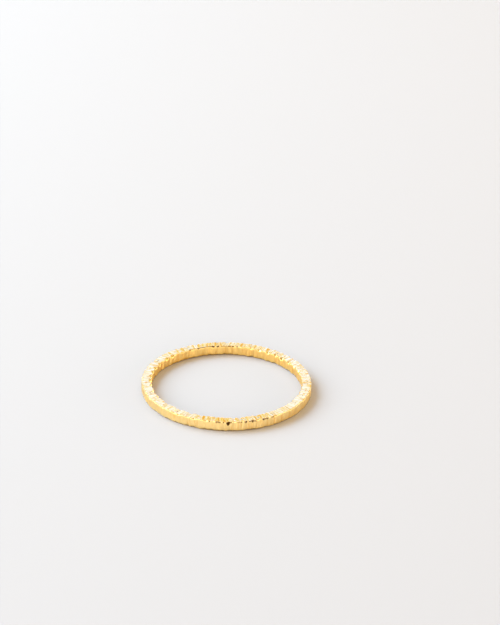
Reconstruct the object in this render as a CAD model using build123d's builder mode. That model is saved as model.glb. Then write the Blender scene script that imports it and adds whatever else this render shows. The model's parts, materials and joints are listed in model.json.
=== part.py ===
from build123d import *
import math
import os

# A stackable finger ring: one length of nearly square gold wire, bent round, its ends soldered,
# then worked all the way round with the wedge end of a hammer. Millimetres. It lies on its side:
# the origin is on the ring's axis, in the plane it rests on, and +Z is the way the finger goes.

# The wire, before it is hammered
inner_radius = 8.65                   # a 17.3 mm bore, US size 7
wall = 1.15                           # thickness, from the bore to the outside
height = 1.25                         # along the finger
edge_radius = 0.10                    # the wire's long edges, broken and polished

# The hammer: each blow leaves a trough the shape of its rounded wedge
peen_radius = 0.9
blow_count = 88                       # side by side, once round each worked face
hand_drift = 0.16                     # how far a blow strays from its even place, in spacings

# How deep the blows go into each face, and how much that varies from one to the next
wall_depth, wall_depth_spread = 0.045, 0.020
top_depth, top_depth_spread = 0.045, 0.022
bottom_depth, bottom_depth_spread = 0.030, 0.012

outer_radius = inner_radius + wall
middle_radius = inner_radius + wall / 2
blow_spacing = 360 / blow_count
golden_ratio = (math.sqrt(5) - 1) / 2


def unevenness(blow, row):
    """How one blow differs from an even one, from -1 to 1. Each row of blows has its own run."""
    return 2 * ((blow * golden_ratio + row * math.sqrt(2)) % 1) - 1


def blow_angle(blow, row):
    """Where a blow lands round the ring. The first falls half a spacing past the +X axis."""
    return math.radians(blow_spacing * (blow + 0.5 + hand_drift * unevenness(blow, row)))


def blow_depth(blow, row, depth, spread):
    return depth + spread * unevenness(blow, row + 0.5)


def upright_blows(row, depth, spread):
    """The hammer's axis for each blow on the outer wall, standing up beside the ring."""
    for blow in range(blow_count):
        angle = blow_angle(blow, row)
        reach = outer_radius + peen_radius - blow_depth(blow, row, depth, spread)
        yield Location((reach * math.cos(angle), reach * math.sin(angle), height / 2))


def radial_blows(row, rim_level, side, depth, spread):
    """The hammer's axis for each blow on a rim, lying across it from the bore to the outside."""
    for blow in range(blow_count):
        angle = blow_angle(blow, row)
        level = rim_level + side * (peen_radius - blow_depth(blow, row, depth, spread))
        outwards = (math.cos(angle), math.sin(angle), 0)
        axis_point = (middle_radius * outwards[0], middle_radius * outwards[1], level)
        yield Plane(origin=axis_point, z_dir=outwards).location


with BuildPart() as hammered_band:
    # The plain band, one closed turn of the wire
    with BuildSketch(Plane.XZ):
        with Locations((middle_radius, height / 2)):
            RectangleRounded(wall, height, edge_radius)
    revolve(axis=Axis.Z)

    # The outer wall, worked with upright blows. The bore stays round and smooth for the finger
    with Locations(*upright_blows(1, wall_depth, wall_depth_spread)):
        Cylinder(peen_radius, 2 * height, mode=Mode.SUBTRACT)

    # The top and bottom rims, worked across the wire. The narrow flats left between the blows
    # lie in one plane: the ring rests on the bottom ones, and its neighbour lies on the top ones
    with Locations(*radial_blows(2, height, 1, top_depth, top_depth_spread)):
        Cylinder(peen_radius, 2 * wall, mode=Mode.SUBTRACT)
    with Locations(*radial_blows(4, 0, -1, bottom_depth, bottom_depth_spread)):
        Cylinder(peen_radius, 2 * wall, mode=Mode.SUBTRACT)

hammered_band.part.label = "hammered_band"

os.makedirs("parts", exist_ok=True)
export_step(hammered_band.part, "parts/hammered_band.step")
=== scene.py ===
import json
import math

import bpy
from mathutils import Matrix, Vector


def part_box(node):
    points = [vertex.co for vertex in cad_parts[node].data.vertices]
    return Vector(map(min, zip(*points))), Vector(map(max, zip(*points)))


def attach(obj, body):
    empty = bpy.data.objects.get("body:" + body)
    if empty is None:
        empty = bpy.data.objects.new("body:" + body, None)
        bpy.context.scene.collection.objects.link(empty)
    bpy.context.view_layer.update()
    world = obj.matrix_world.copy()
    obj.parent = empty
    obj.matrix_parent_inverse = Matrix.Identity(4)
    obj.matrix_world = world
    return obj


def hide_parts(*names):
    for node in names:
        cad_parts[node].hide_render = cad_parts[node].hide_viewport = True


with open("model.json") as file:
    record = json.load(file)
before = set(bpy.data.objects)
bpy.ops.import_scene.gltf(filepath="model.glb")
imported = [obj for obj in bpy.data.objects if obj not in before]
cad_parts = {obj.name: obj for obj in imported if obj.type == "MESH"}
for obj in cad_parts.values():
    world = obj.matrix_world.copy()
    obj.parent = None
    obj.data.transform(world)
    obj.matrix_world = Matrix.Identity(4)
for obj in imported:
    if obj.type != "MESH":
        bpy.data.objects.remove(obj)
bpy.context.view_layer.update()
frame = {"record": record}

# ------------------------------------------------------------------------------------------------
# The hammered band. It is the whole ring: one turn of nearly square wire, soldered closed on a
# mandrel, worked all over with the wedge end of a hammer, then plated with gold and polished.
# ------------------------------------------------------------------------------------------------
mm = 0.001
band_low, band_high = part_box("hammered_band")
bore = next(mount for mount in frame["record"]["mounts"] if mount["name"] == "finger_bore")
inner_radius = bore["dims"]["r_mm"] * mm
outer_radius = (band_high[0] - band_low[0]) / 2
middle_radius = (inner_radius + outer_radius) / 2
half_wall = (outer_radius - inner_radius) / 2
half_height = (band_high[2] - band_low[2]) / 2

steps_round = 1760                    # about 18 to each main blow on the top
steps_across = 56
corner_power = 18.0                   # the wire's section: a square whose corners are this tight
corner_gather = 0.72                  # how much closer the steps across lie at the corners
top_crown = 0.010 * mm                # how far the top bulges in its middle
wall_crown = 0.008 * mm               # how far the outer and inner walls do


class Flow:
    """A number that flows through a node tree, so that a formula is written as it is read."""

    def __init__(self, tree, socket):
        self.tree, self.socket = tree, socket

    def work(self, operation, *values):
        node = self.tree.nodes.new("ShaderNodeMath")
        node.operation = operation
        for socket, value in zip(node.inputs, values):
            feed(self.tree, socket, value)
        return Flow(self.tree, node.outputs["Value"])

    def __add__(self, other):
        return self.work("ADD", self, other)

    def __sub__(self, other):
        return self.work("SUBTRACT", self, other)

    def __rsub__(self, other):
        return self.work("SUBTRACT", other, self)

    def __mul__(self, other):
        return self.work("MULTIPLY", self, other)

    def __truediv__(self, other):
        return self.work("DIVIDE", self, other)

    def __rtruediv__(self, other):
        return self.work("DIVIDE", other, self)

    def __pow__(self, other):
        return self.work("POWER", self, other)

    __radd__ = __add__
    __rmul__ = __mul__

    def sin(self):
        return self.work("SINE", self)

    def cos(self):
        return self.work("COSINE", self)

    def abs(self):
        return self.work("ABSOLUTE", self)

    def sign(self):
        return self.work("SIGN", self)

    def floor(self):
        return self.work("FLOOR", self)

    def wrap(self, whole):
        return self.work("FLOORED_MODULO", self, whole)

    def least(self, other):
        return self.work("MINIMUM", self, other)

    def most(self, other):
        return self.work("MAXIMUM", self, other)

    def angle(self, x):
        return self.work("ARCTAN2", self, x)


def feed(tree, socket, value):
    """Links a flow or a socket to an input, or sets the input to a plain value."""
    if isinstance(value, Flow):
        value = value.socket
    if isinstance(value, bpy.types.NodeSocket):
        tree.links.new(value, socket)
    else:
        socket.default_value = value


def put(tree, kind, values=None, **choices):
    """Adds a node, makes its choices, and feeds its inputs by name."""
    node = tree.nodes.new(kind)
    for name, choice in choices.items():
        setattr(node, name, choice)
    for name, value in (values or {}).items():
        feed(tree, node.inputs[name], value)
    return node


def new_tree(name, kind, inputs, outputs):
    """An empty node group, with what flows in through its inputs by name."""
    tree = bpy.data.node_groups.new(name, kind)
    for socket_name, socket_kind in inputs.items():
        tree.interface.new_socket(socket_name, in_out="INPUT", socket_type="NodeSocket" + socket_kind)
    for socket_name, socket_kind in outputs.items():
        tree.interface.new_socket(socket_name, in_out="OUTPUT", socket_type="NodeSocket" + socket_kind)
    inlet = tree.nodes.new("NodeGroupInput")
    return tree, {name: Flow(tree, inlet.outputs[name]) for name in inputs}


def spread(tree, vector):
    """The three numbers of a vector or colour."""
    parts = put(tree, "ShaderNodeSeparateXYZ", {"Vector": vector}).outputs
    return [Flow(tree, parts[axis]) for axis in "XYZ"]


def lay_over(tree, under, over, amount):
    """Lays one colour over another, as fully as the amount says."""
    mix = put(tree, "ShaderNodeMix", data_type="RGBA")
    factor, first_colour, second_colour = mix.inputs[0], mix.inputs[6], mix.inputs[7]
    feed(tree, factor, amount)
    feed(tree, first_colour, under)
    feed(tree, second_colour, over)
    return mix.outputs[2]


blow_inputs = ("Blows", "Peen radius", "Depth", "Depth spread", "Rarity", "Drift", "Lean", "Bow", "Seed")


def hammer_blow_tree():
    """One blow: a trough as deep as the hammer's wedge went in there, and negative beyond its sides.

    The wedge leans, so its trough runs aslant across the face, and its edge is bowed, so the trough
    is deepest at one place across the face and fades from there.
    """
    inputs = ("Place", "Across", "Number", "Spacing") + blow_inputs
    heel_reach = 1.2                  # how far from the face's middle the deepest place may lie
    tree, given = new_tree("hammer_blow", "GeometryNodeTree",
                           dict.fromkeys(inputs, "Float"), {"Trough": "Float"})
    number = given["Number"].wrap(given["Blows"])
    key = put(tree, "ShaderNodeCombineXYZ", {"X": number, "Y": given["Seed"], "Z": 0.5}).outputs["Vector"]
    chance = put(tree, "ShaderNodeTexWhiteNoise", {"Vector": key}, noise_dimensions="3D")
    stray, slant, force = spread(tree, chance.outputs["Color"])
    heel = Flow(tree, chance.outputs["Value"])
    stray, slant, heel = stray * 2 - 1, slant * 2 - 1, heel * (2 * heel_reach) - heel_reach
    force = force ** given["Rarity"] * 2 - 1
    centre = given["Number"] + 0.5 + given["Drift"] * stray + given["Lean"] * slant * given["Across"]
    aside = given["Across"] - heel
    depth = given["Depth"] + given["Depth spread"] * force - given["Bow"] * aside * aside
    offset = (given["Place"] - centre) * given["Spacing"]
    put(tree, "NodeGroupOutput", {"Trough": depth - offset * offset / (2 * given["Peen radius"])})
    return tree


def row_of_blows_tree(blow_tree):
    """A row of blows once round the ring. Each point lies in its own blow or in one of the nearest."""
    inputs = ("Turn", "Across", "Radius") + blow_inputs
    tree, given = new_tree("row_of_blows", "GeometryNodeTree",
                           dict.fromkeys(inputs, "Float"), {"Dent": "Float"})
    place = given["Turn"] * given["Blows"]
    spacing = 2 * math.pi * given["Radius"] / given["Blows"]
    dent = None
    for neighbour in (-2, -1, 0, 1, 2):
        blow = put(tree, "GeometryNodeGroup", node_tree=blow_tree)
        for name in ("Across",) + blow_inputs:
            feed(tree, blow.inputs[name], given[name])
        feed(tree, blow.inputs["Place"], place)
        feed(tree, blow.inputs["Number"], place.floor() + neighbour)
        feed(tree, blow.inputs["Spacing"], spacing)
        trough = Flow(tree, blow.outputs["Trough"])
        dent = trough.most(0) if dent is None else dent.most(trough)
    put(tree, "NodeGroupOutput", {"Dent": dent})
    return tree


def edge_cut_tree():
    """One cut along a long edge: how far it reaches down the wall, and negative beyond its ends.

    A blunt cut is as deep from end to end, and a sharp one comes to a point.
    """
    inputs = ("Angle", "At", "Radius", "Reach", "Half width", "Bluntness")
    tree, given = new_tree("edge_cut", "GeometryNodeTree",
                           dict.fromkeys(inputs, "Float"), {"Bite": "Float"})
    offset = ((given["Angle"] - given["At"] + math.pi).wrap(2 * math.pi) - math.pi) * given["Radius"]
    across = (offset / given["Half width"]).abs() ** given["Bluntness"]
    put(tree, "NodeGroupOutput", {"Bite": given["Reach"] * (1 - across)})
    return tree


# How each face is worked. Its main blows lie side by side, and closer, lighter ones lie over them.
# The peen's radius, depths and bow are in mm, and drift and lean are in spacings between blows.
# A rarity above 1 makes the deepest blows fewer
blows_on_faces = {
    #  face      which     blows   peen   depth  spread  rarity  drift  lean   bow    seed
    ("outer", "main"):   (92.0,  0.85,  0.044,  0.022,   1.0,   0.30,  0.20,  0.012,   3.0),
    ("outer", "light"):  (210.0, 0.20,  0.024,  0.028,   1.0,   0.45,  0.40,  0.008,   4.0),
    ("inner", "main"):   (68.0,  0.95,  0.075,  0.038,   1.0,   0.28,  0.30,  0.014,  11.0),
    ("inner", "light"):  (160.0, 0.36,  0.014,  0.022,   1.0,   0.45,  0.45,  0.014,  12.0),
    ("top", "main"):     (98.0,  1.20,  0.042,  0.026,   1.0,   0.36,  0.28,  0.006,  23.0),
    ("top", "light"):    (150.0, 0.45,  0.010,  0.024,   1.4,   0.48,  0.55,  0.008,  24.0),
    ("bottom", "main"):  (88.0,  1.20,  0.020,  0.008,   1.0,   0.25,  0.20,  0.012,  31.0),
    ("bottom", "light"): (170.0, 0.40,  0.006,  0.010,   1.3,   0.45,  0.50,  0.014,  32.0),
}
face_radius = {"outer": outer_radius, "inner": inner_radius, "top": middle_radius, "bottom": middle_radius}

# Where a main blow on the top or bottom runs off an edge, it bites the edge too
edge_bites = {
    #          peen   depth  spread  rarity  bow
    "top":    (0.30,  0.045,  0.070,   1.6,  0.020),
    "bottom": (1.20,  0.155,  0.030,   1.0,  0.010),
}
bite_inputs = ("Peen radius", "Depth", "Depth spread", "Rarity", "Bow")
lengths = ("Peen radius", "Depth", "Depth spread", "Bow")


def in_metres(names, row):
    """One row of a table by name, with its lengths turned from mm to metres."""
    return {name: value * mm if name in lengths else value for name, value in zip(names, row)}


# Cuts and folded lips along the top's two long edges. All but the bright chips are painted dark brown to
# black, painted shade and dark reflection for their crevices.
# Each row is degrees round from +X, reach down the wall and half width in mm, and bluntness
edge_cuts = {
    "outer cuts": {"sign": 1, "slope": 0.20, "radius": outer_radius, "shaded": 1, "rows": (
        (-100.8, 0.032, 0.13, 2), (-96.2, 0.080, 0.13, 2), (-95.0, 0.032, 0.34, 8), (-91.4, 0.080, 0.09, 2),
        (-88.4, 0.370, 0.28, 1), (-87.9, 0.050, 0.38, 6), (-81.0, 0.028, 0.33, 8), (-79.6, 0.060, 0.13, 2),
        (-76.7, 0.045, 0.20, 6), (-76.5, 0.170, 0.17, 1), (-72.0, 0.190, 0.20, 1), (-71.5, 0.046, 0.60, 10),
        (-64.3, 0.120, 0.15, 2), (-63.0, 0.046, 0.42, 10), (-61.4, 0.090, 0.17, 2), (-57.0, 0.030, 0.35, 8),
        (22.0, 0.035, 0.30, 8), (61.0, 0.110, 0.18, 1), (66.0, 0.035, 0.50, 8), (83.0, 0.045, 0.35, 6),
        (97.0, 0.170, 0.20, 1), (104.0, 0.035, 0.45, 8), (131.0, 0.045, 0.25, 4), (152.0, 0.100, 0.16, 1))},
    "inner cuts": {"sign": -1, "slope": 0.75, "radius": inner_radius, "shaded": 1, "rows": (
        (82.2, 0.050, 0.14, 2), (85.6, 0.065, 0.16, 3), (88.3, 0.070, 0.22, 3), (92.5, 0.045, 0.44, 8),
        (97.3, 0.080, 0.21, 3), (101.1, 0.110, 0.22, 2), (105.3, 0.040, 0.46, 8), (111.0, 0.045, 0.49, 8),
        (113.2, 0.070, 0.18, 2), (116.7, 0.028, 0.20, 6), (120.0, 0.065, 0.25, 2),
        (-84.0, 0.035, 0.30, 4), (-97.0, 0.055, 0.20, 2), (-118.0, 0.028, 0.35, 8), (-31.0, 0.035, 0.25, 4))},
    "inner chips": {"sign": -1, "slope": 1.0, "radius": inner_radius, "shaded": 0, "rows": (
        (17.0, 0.15, 0.36, 2), (25.0, 0.14, 0.32, 2), (33.5, 0.20, 0.36, 2), (42.5, 0.25, 0.34, 2),
        (49.5, 0.22, 0.32, 2), (56.5, 0.16, 0.24, 2), (64.0, 0.12, 0.28, 2), (71.0, 0.16, 0.22, 2),
        (137.0, 0.24, 0.26, 2), (143.5, 0.20, 0.34, 2), (154.0, 0.26, 0.24, 2), (161.0, 0.22, 0.32, 2),
        (168.0, 0.24, 0.28, 2), (174.5, 0.26, 0.26, 2), (-178.0, 0.22, 0.34, 2), (-170.0, 0.20, 0.26, 2),
        (-160.0, 0.22, 0.30, 2), (-151.0, 0.20, 0.26, 2), (-142.0, 0.22, 0.32, 2))},
}


def hammered_band_tree(row_tree, cut_tree):
    """Bends the wire to a ring and hammers it."""
    thread = 1e-5                     # how thin the section is swept, before it is opened to its real size
    feather = 0.004 * mm              # how deep a cut is where its painted shade is full
    shallow = 0.03 * mm               # a cut with less reach than this is painted only lightly shaded
    brown_reach, black = 0.08, 0.20       # the reach in mm up to which a cut's painted shade is brown, and from which it is black
    deep_dent = 0.1 * mm              # the dent that counts as 1 in the finish
    tree, given = new_tree(
        "hammered_band", "GeometryNodeTree",
        {"Middle radius": "Float", "Half wall": "Float", "Half height": "Float", "Steps round": "Int",
         "Steps across": "Int", "Corner power": "Float", "Corner gather": "Float", "Top crown": "Float",
         "Wall crown": "Float", "Seed": "Float", "Gold": "Material"},
        {"Geometry": "Geometry"})

    # The wire's section: a circle of points moved out to a square with soft corners
    section = put(tree, "GeometryNodeCurvePrimitiveCircle",
                  {"Resolution": given["Steps across"], "Radius": 1.0})
    x, y, _ = spread(tree, put(tree, "GeometryNodeInputPosition").outputs["Position"])
    lap = y.angle(x)
    lap = lap + given["Corner gather"] / 4 * (4 * lap).sin()
    power = given["Corner power"]
    reach = (lap.cos().abs() ** power + lap.sin().abs() ** power) ** (-1 / power)
    remember = put(tree, "GeometryNodeCaptureAttribute", {"Geometry": section.outputs["Curve"]})
    remember.capture_items.new("FLOAT", "Side")
    remember.capture_items.new("FLOAT", "Level")
    feed(tree, remember.inputs["Side"], lap.cos() * reach)
    feed(tree, remember.inputs["Level"], lap.sin() * reach)

    # One turn of it, with every point's place round the ring and in the section kept.
    # Side is -1 at the bore and 1 outside, and level is -1 at the bottom and 1 at the top
    turn_of_wire = put(tree, "GeometryNodeCurvePrimitiveCircle",
                       {"Resolution": given["Steps round"], "Radius": given["Middle radius"]})
    small = put(tree, "GeometryNodeTransform",
                {"Geometry": remember.outputs["Geometry"], "Scale": (thread,) * 3})
    ring = put(tree, "GeometryNodeCurveToMesh",
               {"Curve": turn_of_wire.outputs["Curve"], "Profile Curve": small.outputs["Geometry"]})
    side, level = Flow(tree, remember.outputs["Side"]), Flow(tree, remember.outputs["Level"])
    x, y, _ = spread(tree, put(tree, "GeometryNodeInputPosition").outputs["Position"])
    angle = y.angle(x)
    turn = (angle / (2 * math.pi)).wrap(1)

    def row_of_blows(radius, across, work):
        row = put(tree, "GeometryNodeGroup", node_tree=row_tree)
        for key, value in dict(work, Turn=turn, Across=across, Radius=radius).items():
            feed(tree, row.inputs[key], given["Seed"] + value if key == "Seed" else value)
        return Flow(tree, row.outputs["Dent"])

    dents = {}
    for face, face_middle in face_radius.items():
        across = level if face in ("outer", "inner") else side
        main, light = (in_metres(blow_inputs, blows_on_faces[face, weight]) for weight in ("main", "light"))
        dents[face] = row_of_blows(face_middle, across, main) + row_of_blows(face_middle, across, light)
    outward, upward = (side + 1) / 2, (level + 1) / 2
    top_crown, wall_crown = given["Top crown"], given["Wall crown"]
    wall_dent = outward * dents["outer"] + (1 - outward) * dents["inner"]
    radial = given["Half wall"] * side - side.sign() * (wall_dent + wall_crown * level * level)
    vertical = (given["Half height"] * level
                - upward * (dents["top"] + top_crown * side * side)
                + (1 - upward) * dents["bottom"])

    # The long edges: bitten where the main blows run off them, and then cut and folded here and there
    edge_row = {}
    for face, bites in edge_bites.items():
        work = in_metres(blow_inputs, blows_on_faces[face, "main"])
        work.update(in_metres(bite_inputs, bites))
        edge_row[face] = row_of_blows(middle_radius, side, work)
    bite = level.sign().most(0) * edge_row["top"] + (0 - level).sign().most(0) * edge_row["bottom"]
    corner_out = given["Half wall"] - wall_dent - wall_crown
    corner_up = given["Half height"] - upward * (dents["top"] + top_crown) - (1 - upward) * dents["bottom"]

    def corner_reach(slope):
        """How far the rounded corner reaches along (1, slope)."""
        blunt = power / (power - 1)
        return (corner_out ** blunt + (slope * corner_up) ** blunt) ** (1 / blunt)

    beyond = (radial.abs() + vertical.abs() - (corner_reach(1) - bite)).most(0) / 2
    radial = radial - radial.sign() * beyond
    vertical = vertical - vertical.sign() * beyond

    # How dark each point is painted, as shade in the cuts, and how freshly chipped. A new Value node holds 0
    crevice_shade = Flow(tree, put(tree, "ShaderNodeValue").outputs[0])
    chipped = Flow(tree, put(tree, "ShaderNodeValue").outputs[0])
    for edge in edge_cuts.values():
        sign, slope = edge["sign"], edge["slope"]
        deep = Flow(tree, put(tree, "ShaderNodeValue").outputs[0])
        for at, cut_reach, half_width, bluntness in edge["rows"]:
            cut = put(tree, "GeometryNodeGroup", {
                "Angle": angle, "At": math.radians(at), "Radius": edge["radius"], "Reach": cut_reach * mm,
                "Half width": half_width * mm, "Bluntness": bluntness}, node_tree=cut_tree)
            deep = deep.most(Flow(tree, cut.outputs["Bite"]))
        beyond = (sign * radial + slope * vertical - (corner_reach(slope) - slope * deep)).most(0)
        beyond = beyond / (1 + slope * slope)
        radial = radial - sign * beyond
        vertical = vertical - slope * beyond
        cover = (beyond / feather).least(1) * (deep / shallow).least(1)
        blackness = ((deep / mm - brown_reach) / (black - brown_reach)).most(0).least(1)
        crevice_shade = crevice_shade + cover * (0.5 + blackness / 2) * edge["shaded"]
        chipped = chipped.most(cover * (1 - edge["shaded"]))

    radius = given["Middle radius"] + radial
    place = put(tree, "ShaderNodeCombineXYZ", {"X": radius * angle.cos(), "Y": radius * angle.sin(),
                                               "Z": given["Half height"] + vertical})
    shaped = put(tree, "GeometryNodeSetPosition",
                 {"Geometry": ring.outputs["Mesh"], "Position": place.outputs["Vector"]})

    # What the gold's finish follows. The powers fade each one quickly away from its own face or edge
    geometry = shaped.outputs["Geometry"]
    edge_fade, wall_fade, top_fade = 6, 10, 4
    follows = {
        "dent": (wall_dent + upward * dents["top"]) / deep_dent,
        "edge": (side.abs() * level.abs()) ** edge_fade,
        # the painted shade in the edge cuts, brown to black
        "crevice_shade": crevice_shade,
        "wall": side.abs() ** wall_fade * (1 - chipped),
        # where the bore is painted a deeper orange, a painted reflection of gold in gold
        "bore": (0 - side).most(0) ** wall_fade * (1 - level.most(0) ** top_fade) * (1 - chipped),
    }
    for name, value in follows.items():
        kept = put(tree, "GeometryNodeStoreNamedAttribute",
                   {"Geometry": geometry, "Name": name, "Value": value}, data_type="FLOAT", domain="POINT")
        geometry = kept.outputs["Geometry"]

    # The sweep leaves its faces pointing into the wire, so they are turned to point out of it
    outside = put(tree, "GeometryNodeFlipFaces", {"Mesh": geometry})
    smooth = put(tree, "GeometryNodeSetShadeSmooth",
                 {"Geometry": outside.outputs["Mesh"], "Shade Smooth": True})
    real = put(tree, "GeometryNodeRealizeInstances", {"Geometry": smooth.outputs["Geometry"]})
    gilt = put(tree, "GeometryNodeSetMaterial",
               {"Geometry": real.outputs["Geometry"], "Material": given["Gold"]})
    put(tree, "NodeGroupOutput", {"Geometry": gilt.outputs["Geometry"]})
    return tree


def hammer_lines_tree():
    """The hammer face's own fine scratches, printed across the wire by every blow."""
    rim_lines, wall_lines = 0.4, 2.6  # their height on the rims, and how much more on the walls
    tree, given = new_tree(
        "hammer_lines", "ShaderNodeTree",
        {"Position": "Vector", "Lines round": "Float", "Lines along": "Float", "Wall": "Float"},
        {"Height": "Float", "Streaks": "Float"})
    x, y, z = spread(tree, given["Position"])
    radius = (x * x + y * y) ** 0.5
    spot = put(tree, "ShaderNodeCombineXYZ", {"X": x / radius * given["Lines round"],
                                              "Y": y / radius * given["Lines round"],
                                              "Z": z * given["Lines along"]})
    noise = put(tree, "ShaderNodeTexNoise", {"Vector": spot.outputs["Vector"], "Scale": 1.0, "Detail": 2.0,
                                             "Roughness": 0.6})
    height = Flow(tree, noise.outputs["Fac"]) * (given["Wall"] * wall_lines + rim_lines)
    put(tree, "NodeGroupOutput", {"Height": height, "Streaks": noise.outputs["Fac"]})
    return tree


def worn_gold_tree():
    """How the plating's colour and polish change: a deeper orange inside the bore, painted as the gold's
    reflection of gold across the ring; darker and duller down in the marks, partly wear and partly painted
    shade; and brown to black in the edge cuts, painted shade.
    """
    # What darkens and dulls the plating, and what spares it: its own wear in random patches, painted shade
    # down in the deeper marks and painted sheen along the wall streaks. Below the least wear it is as new
    dent_wear_and_shade, edge_care, chance_wear, least_wear = 0.9, 0.5, 1.5, 1.15
    streak_middle, streak_sheen = 0.545, 7
    shade_and_wear_tint, shade_and_wear_tint_on_walls = 0.4, 0.4
    edge_polish, worn_dullness = 0.6, 0.12
    tree, given = new_tree(
        "worn_gold", "ShaderNodeTree",
        {"Polished colour": "Color", "Bore reflection colour": "Color", "Worn and shaded colour": "Color",
         "Crevice brown colour": "Color", "Crevice shade colour": "Color",
         "Polished": "Float", "Satin": "Float", "Bore satin": "Float", "Dull": "Float",
         "Dent": "Float", "Edge": "Float", "Wall": "Float", "Bore": "Float", "Crevice shade": "Float",
         "Unevenness": "Float", "Streaks": "Float"},
        {"Colour": "Color", "Roughness": "Float"})
    # On the walls the hammer streaks are painted lighter and darker, painted sheen for the strokes
    streaks = (given["Streaks"] - streak_middle) * given["Wall"] * streak_sheen
    # Deeper marks are painted darker, painted shade in the troughs, and edges are spared
    wear_and_shade = given["Dent"] * dent_wear_and_shade - given["Edge"] * edge_care + given["Unevenness"] * chance_wear
    wear_and_shade = (wear_and_shade + streaks - least_wear).most(0).least(1)
    colour = given["Polished colour"]
    # The bore's deeper orange is painted reflection: the gold mirroring gold across the ring
    for amount, other in ((given["Bore"], "Bore reflection colour"),
                          # the worn colour: wear, and painted shade down in the marks
                          (wear_and_shade * (shade_and_wear_tint + shade_and_wear_tint_on_walls * given["Wall"]), "Worn and shaded colour"),
                          # brown to black painted shade in the edge cuts
                          ((given["Crevice shade"] * 2).least(1), "Crevice brown colour"),
                          ((given["Crevice shade"] * 2 - 1).most(0), "Crevice shade colour")):
        colour = lay_over(tree, colour, given[other], amount)
    satin = given["Satin"] + (given["Bore satin"] - given["Satin"]) * given["Bore"]
    on_wall = given["Wall"] * (1 - edge_polish * given["Edge"])
    satin = given["Polished"] + (satin - given["Polished"]) * on_wall
    roughness = (satin + worn_dullness * wear_and_shade).most(given["Dull"] * (given["Crevice shade"] * 2).least(1))
    put(tree, "NodeGroupOutput", {"Colour": colour, "Roughness": roughness})
    return tree


gold = bpy.data.materials.new("hammered_gold")
gold.use_nodes = True
leaf = gold.node_tree
skin = leaf.nodes["Principled BSDF"]
skin.inputs["Metallic"].default_value = 1.0
position = put(leaf, "ShaderNodeTexCoord").outputs["Object"]
mark = {name: put(leaf, "ShaderNodeAttribute", attribute_name=name).outputs["Fac"]
        for name in ("dent", "edge", "crevice_shade", "wall", "bore")}
lines = put(leaf, "ShaderNodeGroup", {
    "Position": position, "Lines round": 38.0, "Lines along": 330.0, "Wall": mark["wall"]},
    node_tree=hammer_lines_tree())
patches = put(leaf, "ShaderNodeTexNoise", {"Vector": position, "Scale": 900.0, "Detail": 2.0})
finish = put(leaf, "ShaderNodeGroup", {
    # the bore colour is painted reflection of gold in gold, a deeper orange
    "Polished colour": (1.0, 0.75, 0.315, 1), "Bore reflection colour": (1.0, 0.68, 0.215, 1),
    # the worn colour is partly wear and partly painted shade and sheen in the marks
    "Worn and shaded colour": (0.86, 0.54, 0.16, 1), "Crevice brown colour": (0.14, 0.060, 0.012, 1),
    # this line's black and the brown on the line above are painted shade in the edge cuts
    "Crevice shade colour": (0.045, 0.024, 0.008, 1),
    "Polished": 0.12, "Satin": 0.36, "Bore satin": 0.36, "Dull": 0.50,
    "Dent": mark["dent"], "Edge": mark["edge"], "Wall": mark["wall"], "Crevice shade": mark["crevice_shade"],
    "Bore": mark["bore"], "Unevenness": patches.outputs["Fac"], "Streaks": lines.outputs["Streaks"]},
    node_tree=worn_gold_tree())
line_depth = 0.013 * mm
bump = put(leaf, "ShaderNodeBump",
           {"Strength": 1.0, "Distance": line_depth, "Height": lines.outputs["Height"]})
feed(leaf, skin.inputs["Base Color"], finish.outputs["Colour"])
feed(leaf, skin.inputs["Roughness"], finish.outputs["Roughness"])
feed(leaf, skin.inputs["Normal"], bump.outputs["Normal"])

band = bpy.data.objects.new("hammered_gold_band", bpy.data.meshes.new("band_blank"))
bpy.context.collection.objects.link(band)
making = band.modifiers.new("hammering", "NODES")
making.node_group = hammered_band_tree(row_of_blows_tree(hammer_blow_tree()), edge_cut_tree())
sizes = {"Middle radius": middle_radius, "Half wall": half_wall, "Half height": half_height,
         "Steps round": steps_round, "Steps across": steps_across, "Corner power": corner_power,
         "Corner gather": corner_gather, "Top crown": top_crown, "Wall crown": wall_crown,
         "Seed": 0.0, "Gold": gold}
for item in making.node_group.interface.items_tree:
    if item.in_out == "INPUT":
        making[item.identifier] = sizes[item.name]
hammered = bpy.data.meshes.new_from_object(band.evaluated_get(bpy.context.evaluated_depsgraph_get()))
band.modifiers.remove(making)
band.data = hammered
hammered.name = "hammered_gold_band"
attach(band, "root")
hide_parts("hammered_band")

# ------------------------------------------------------------------------------------------------
# The floor: a pale matt board that the ring lies on. It isn't part of the ring.
# ------------------------------------------------------------------------------------------------
floor_radius = 0.42
floor_sides = 96
floor_mesh = bpy.data.meshes.new("floor")
rim = [(floor_radius * math.cos(turn), floor_radius * math.sin(turn), 0)
       for turn in (2 * math.pi * step / floor_sides for step in range(floor_sides))]
floor_mesh.from_pydata(rim, [], [list(range(floor_sides))])
floor = bpy.data.objects.new("floor", floor_mesh)
bpy.context.collection.objects.link(floor)
board = bpy.data.materials.new("pale_board")
board.use_nodes = True
board_skin = board.node_tree.nodes["Principled BSDF"]
board_skin.inputs["Base Color"].default_value = (0.40, 0.40, 0.40, 1)
board_skin.inputs["Roughness"].default_value = 0.8
board_skin.inputs["Specular IOR Level"].default_value = 0.0
floor.data.materials.append(board)

# ------------------------------------------------------------------------------------------------
# The studio: a large window at the left and a small warm lamp at the right, which light the ring but
# aren't mirrored in it. What the gold mirrors is the room round them: the window, a back wall with
# windows, bench and posts, and a white screen in panels round the front.
# ------------------------------------------------------------------------------------------------


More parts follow.
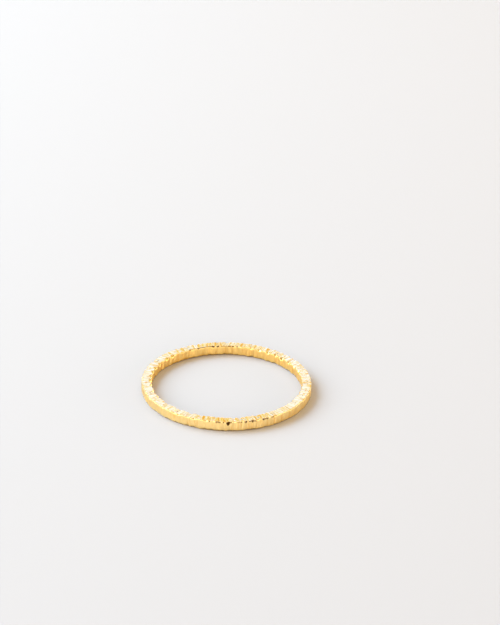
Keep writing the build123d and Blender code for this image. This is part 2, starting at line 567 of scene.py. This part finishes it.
def hang(light_data, azimuth, elevation, distance):
    """Hangs a light that faces the ring, its place in degrees round from straight behind and up."""
    light = bpy.data.objects.new(light_data.name, light_data)
    turn, rise = math.radians(azimuth), math.radians(elevation)
    light.location = distance * Vector((math.sin(turn) * math.cos(rise),
                                        math.cos(turn) * math.cos(rise),
                                        math.sin(rise)))
    light.rotation_euler = (-light.location).to_track_quat("-Z", "Y").to_euler()
    light.visible_camera = False
    light.visible_glossy = False
    bpy.context.collection.objects.link(light)


window_brightness = 6.95
window = bpy.data.lights.new("window_light", "AREA")
window.shape = "RECTANGLE"
window.size = 0.66
window.size_y = 0.38
window.energy = window_brightness * math.pi * window.size * window.size_y
window.color = (0.757, 0.945, 1.100)
hang(window, azimuth=-70, elevation=38, distance=0.50)

lamp = bpy.data.lights.new("warm_lamp", "AREA")
lamp.shape = "DISK"
lamp.size = 0.45
lamp.energy = 1.1
lamp.color = (1.0, 0.64, 0.26)
hang(lamp, azimuth=50, elevation=60, distance=0.60)

world = bpy.data.worlds.new("studio")
world.use_nodes = True
bpy.context.scene.world = world
sky = world.node_tree
sky.nodes.clear()
right, away, up = spread(sky, put(sky, "ShaderNodeTexCoord").outputs["Generated"])
azimuth = right.angle(away) / math.radians(1)
height_angle = up.work("ARCSINE", up) / math.radians(1)


def card(under, colour, middle, half_width, height_from, height_to, soft):
    """Paints a soft-edged card on the room's walls, its place given in degrees as seen from the ring."""
    sideways = ((azimuth - middle + 180).wrap(360) - 180).abs()
    levels = (height_angle - height_from).least(height_to - height_angle)
    cover = ((half_width - sideways).least(levels) / soft + 0.5).most(0).least(1)
    return lay_over(sky, under, (*colour, 1), cover)


# Each later card lies over the ones before it. The middle is in degrees to the right of straight
# behind, the heights are in degrees up, and soft is how many degrees its edge takes to fade
cards = (
    #  colour             middle  half width  from   to   soft
    ((0.62, 0.49, 0.28),    180,     120,      24,   80,    8),     # darker ceiling in front
    ((2.00, 2.40, 3.70),    -70,      33,      18,   58,    4),     # the large window
    ((1.04, 1.34, 2.40),      0,      30,    37.5,   56,    4),     # pale sky in the back's high windows
    ((1.04, 1.32, 2.30),      0,      30,      -5, 18.5,    4),     # white bench at the back's foot
    ((0.92, 0.80, 0.17),      0,      62,    18.5, 37.5,    3),     # back wall between them
    ((1.05, 1.39, 2.85),      0,     5.0,    31.0,   44,    2),     # doorway in it: its fanlight
    ((1.05, 1.39, 2.85),      0,     5.0,      10, 25.5,    2),     # and its open door
    ((1.00, 1.05, 1.20),      0,     3.2,      23,   33,    2),     # pale lintel between those
    ((1.02, 0.98, 0.80),    -12,     2.2,      17,   38,    2),     # white posts
    ((1.15, 1.35, 2.00),    -30,       4,      14,   40,    3),
    ((1.10, 1.18, 1.45),     23,     2.2,      17,   38,    2),
    ((0.88, 0.58, 0.09),     12,       6,      19,   38,    2),     # warm posts
    ((0.84, 0.58, 0.10),     36,       9,      14,   40,    3),
    ((0.86, 0.62, 0.12),    -20,     4.5,      14,   40,    3),
    ((1.00, 0.80, 0.60),    125,      30,       8,   60,   12),     # room at the right
    ((5.60, 4.60, 3.90),    175,     125,      -5,   17,    5),     # white screen round the front
    ((5.40, 4.45, 3.70),    218,      78,      -5,   23,    6),     # and its taller part
)
room_colour, gap_colour = (0.96, 0.74, 0.38, 1), (1.10, 0.80, 0.50)
walls = room_colour
for colour, middle, half_width, height_from, height_to, soft in cards:
    walls = card(walls, colour, middle, half_width, height_from, height_to, soft)
for gap_middle in (98, 140, 178, 222, 262):                         # between the screen's panels
    walls = card(walls, gap_colour, gap_middle, half_width=6, height_from=-5, height_to=30, soft=4)

# The camera sees a plain pale wall past the floor's edge
studio = put(sky, "ShaderNodeBackground", {"Color": walls, "Strength": 1.0})
backdrop = put(sky, "ShaderNodeBackground", {"Color": (0.86, 0.86, 0.86, 1), "Strength": 1.0})
path = put(sky, "ShaderNodeLightPath")
choose = put(sky, "ShaderNodeMixShader", {"Fac": path.outputs["Is Camera Ray"]})
sky.links.new(studio.outputs[0], choose.inputs[1])
sky.links.new(backdrop.outputs[0], choose.inputs[2])
put(sky, "ShaderNodeOutputWorld", {"Surface": choose.outputs[0]})

# ------------------------------------------------------------------------------------------------
# The camera: a long lens close above the table, looking down across the ring.
# ------------------------------------------------------------------------------------------------
elevation = math.radians(28.36)
distance = 25 * outer_radius          # from the middle of the ring
aim = Vector((0.2787, 2.0727, 0)) * outer_radius
roll = math.radians(1.474)
camera_data = bpy.data.cameras.new("camera")
camera_data.lens = 122.14
camera_data.sensor_width = 36
camera_data.clip_start = 0.005
camera = bpy.data.objects.new("camera", camera_data)
bpy.context.collection.objects.link(camera)
camera.location = Vector((0, -math.cos(elevation), math.sin(elevation))) * distance
forward = (aim - camera.location).normalized()
level_right = forward.cross(Vector((0, 0, 1))).normalized()
level_up = level_right.cross(forward)
camera_right = level_right * math.cos(roll) + level_up * math.sin(roll)
camera_up = camera_right.cross(forward)
camera.rotation_euler = Matrix((camera_right, camera_up, -forward)).transposed().to_euler()
bpy.context.scene.camera = camera
bpy.context.scene.view_settings.view_transform = "Standard"
